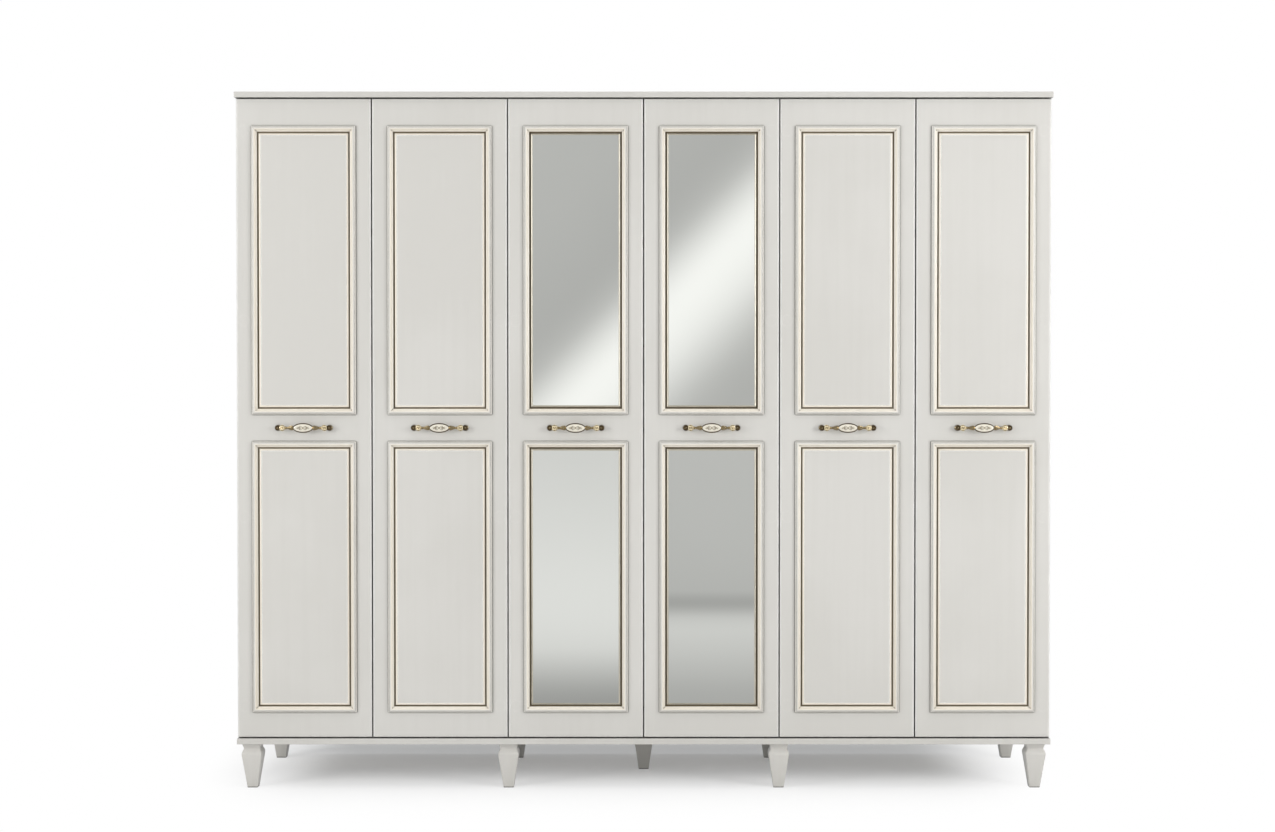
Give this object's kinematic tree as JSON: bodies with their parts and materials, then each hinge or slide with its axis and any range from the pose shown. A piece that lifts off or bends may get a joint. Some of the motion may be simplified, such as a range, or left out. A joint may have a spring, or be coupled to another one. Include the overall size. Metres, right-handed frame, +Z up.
{
  "type": "armoire",
  "caption": "Wide armoire with hinged slab doors, planted mouldings with gilded grooves, mirrored middle doors, bow handles, shelves, hanging rails and tapered legs.",
  "frame": {"origin": "on the floor at the middle of the overall plan", "axes": "+Z up, the doors face -Y, +X to the right as seen from the front"},
  "size_m": [2.586, 0.628, 2.208],
  "materials": {
    "lacquered_board": "satin off-white lacquer",
    "back_board": "matt off-white",
    "lacquered_wood": "satin off-white lacquer",
    "cream_moulding": "satin cream lacquer",
    "antique_gilt": "antique gold paint",
    "antique_brass": "antique gold with cream enamel",
    "silvered_glass": "polished",
    "zinc_fittings": "nickel plated",
    "chromed_tube": "polished"
  },
  "bodies": {
    "carcass": {"top_panel": "lacquered_board", "base_panel": "lacquered_board", "side_panel_left": "lacquered_board", "side_panel_right": "lacquered_board", "divider_left": "lacquered_board", "divider_right": "lacquered_board", "back_panel_left": "back_board", "back_panel_middle": "back_board", "back_panel_right": "back_board", "hat_shelves": "lacquered_board", "middle_shelves": "lacquered_board", "shelf_pins": "zinc_fittings", "hanging_rail_left": "chromed_tube", "hanging_rail_right": "chromed_tube", "rail_sockets": "zinc_fittings", "front_legs": "lacquered_wood", "rear_legs": "lacquered_wood", "centre_leg": "lacquered_wood", "leg_studs": "zinc_fittings", "assembly_screws": "zinc_fittings", "hinge_arms": "zinc_fittings", "hinge_plates": "zinc_fittings"},
    "door_1": {"door_1_slab": "lacquered_board", "door_1_mouldings": "cream_moulding", "door_1_gilt_fillets": "antique_gilt", "door_1_handle": "antique_brass", "door_1_hinge_cups": "zinc_fittings"},
    "door_1_links": {"door_1_hinge_links": "zinc_fittings"},
    "door_2": {"door_2_slab": "lacquered_board", "door_2_mouldings": "cream_moulding", "door_2_gilt_fillets": "antique_gilt", "door_2_handle": "antique_brass", "door_2_hinge_cups": "zinc_fittings"},
    "door_2_links": {"door_2_hinge_links": "zinc_fittings"},
    "door_3": {"door_3_slab": "lacquered_board", "door_3_mouldings": "cream_moulding", "door_3_gilt_fillets": "antique_gilt", "door_3_handle": "antique_brass", "door_3_hinge_cups": "zinc_fittings", "door_3_mirrors": "silvered_glass"},
    "door_3_links": {"door_3_hinge_links": "zinc_fittings"},
    "door_4": {"door_4_slab": "lacquered_board", "door_4_mouldings": "cream_moulding", "door_4_gilt_fillets": "antique_gilt", "door_4_handle": "antique_brass", "door_4_hinge_cups": "zinc_fittings", "door_4_mirrors": "silvered_glass"},
    "door_4_links": {"door_4_hinge_links": "zinc_fittings"},
    "door_5": {"door_5_slab": "lacquered_board", "door_5_mouldings": "cream_moulding", "door_5_gilt_fillets": "antique_gilt", "door_5_handle": "antique_brass", "door_5_hinge_cups": "zinc_fittings"},
    "door_5_links": {"door_5_hinge_links": "zinc_fittings"},
    "door_6": {"door_6_slab": "lacquered_board", "door_6_mouldings": "cream_moulding", "door_6_gilt_fillets": "antique_gilt", "door_6_handle": "antique_brass", "door_6_hinge_cups": "zinc_fittings"},
    "door_6_links": {"door_6_hinge_links": "zinc_fittings"}
  },
  "joints": [
    {"name": "door_1_link_swing", "type": "hinge", "parent": "carcass", "child": "door_1_links", "pos_m": [-1.253, -0.273, 1.1755], "axis": [0, 0, 1], "range_deg": [0, 27.01]},
    {"name": "door_1_swing", "type": "hinge", "parent": "door_1_links", "child": "door_1", "pos_m": [-1.275, -0.277, 1.1755], "axis": [0, 0, -1], "range_deg": [0, 117]},
    {"name": "door_2_link_swing", "type": "hinge", "parent": "carcass", "child": "door_2_links", "pos_m": [-0.467, -0.273, 1.1755], "axis": [0, 0, -1], "range_deg": [0, 24.01]},
    {"name": "door_2_swing", "type": "hinge", "parent": "door_2_links", "child": "door_2", "pos_m": [-0.445, -0.277, 1.1755], "axis": [0, 0, 1], "range_deg": [0, 104]},
    {"name": "door_3_link_swing", "type": "hinge", "parent": "carcass", "child": "door_3_links", "pos_m": [-0.393, -0.273, 1.1755], "axis": [0, 0, 1], "range_deg": [0, 24.01]},
    {"name": "door_3_swing", "type": "hinge", "parent": "door_3_links", "child": "door_3", "pos_m": [-0.415, -0.277, 1.1755], "axis": [0, 0, -1], "range_deg": [0, 104]},
    {"name": "door_4_link_swing", "type": "hinge", "parent": "carcass", "child": "door_4_links", "pos_m": [0.393, -0.273, 1.1755], "axis": [0, 0, -1], "range_deg": [0, 24.01]},
    {"name": "door_4_swing", "type": "hinge", "parent": "door_4_links", "child": "door_4", "pos_m": [0.415, -0.277, 1.1755], "axis": [0, 0, 1], "range_deg": [0, 104]},
    {"name": "door_5_link_swing", "type": "hinge", "parent": "carcass", "child": "door_5_links", "pos_m": [0.467, -0.273, 1.1755], "axis": [0, 0, 1], "range_deg": [0, 24.01]},
    {"name": "door_5_swing", "type": "hinge", "parent": "door_5_links", "child": "door_5", "pos_m": [0.445, -0.277, 1.1755], "axis": [0, 0, -1], "range_deg": [0, 104]},
    {"name": "door_6_link_swing", "type": "hinge", "parent": "carcass", "child": "door_6_links", "pos_m": [1.253, -0.273, 1.1755], "axis": [0, 0, -1], "range_deg": [0, 27.01]},
    {"name": "door_6_swing", "type": "hinge", "parent": "door_6_links", "child": "door_6", "pos_m": [1.275, -0.277, 1.1755], "axis": [0, 0, 1], "range_deg": [0, 117]}
  ],
  "couplings": [
    {"joint": "door_1_link_swing", "follows": "door_1_swing", "ratio": 0.23077},
    {"joint": "door_2_link_swing", "follows": "door_2_swing", "ratio": 0.23077},
    {"joint": "door_3_link_swing", "follows": "door_3_swing", "ratio": 0.23077},
    {"joint": "door_4_link_swing", "follows": "door_4_swing", "ratio": 0.23077},
    {"joint": "door_5_link_swing", "follows": "door_5_swing", "ratio": 0.23077},
    {"joint": "door_6_link_swing", "follows": "door_6_swing", "ratio": 0.23077}
  ]
}
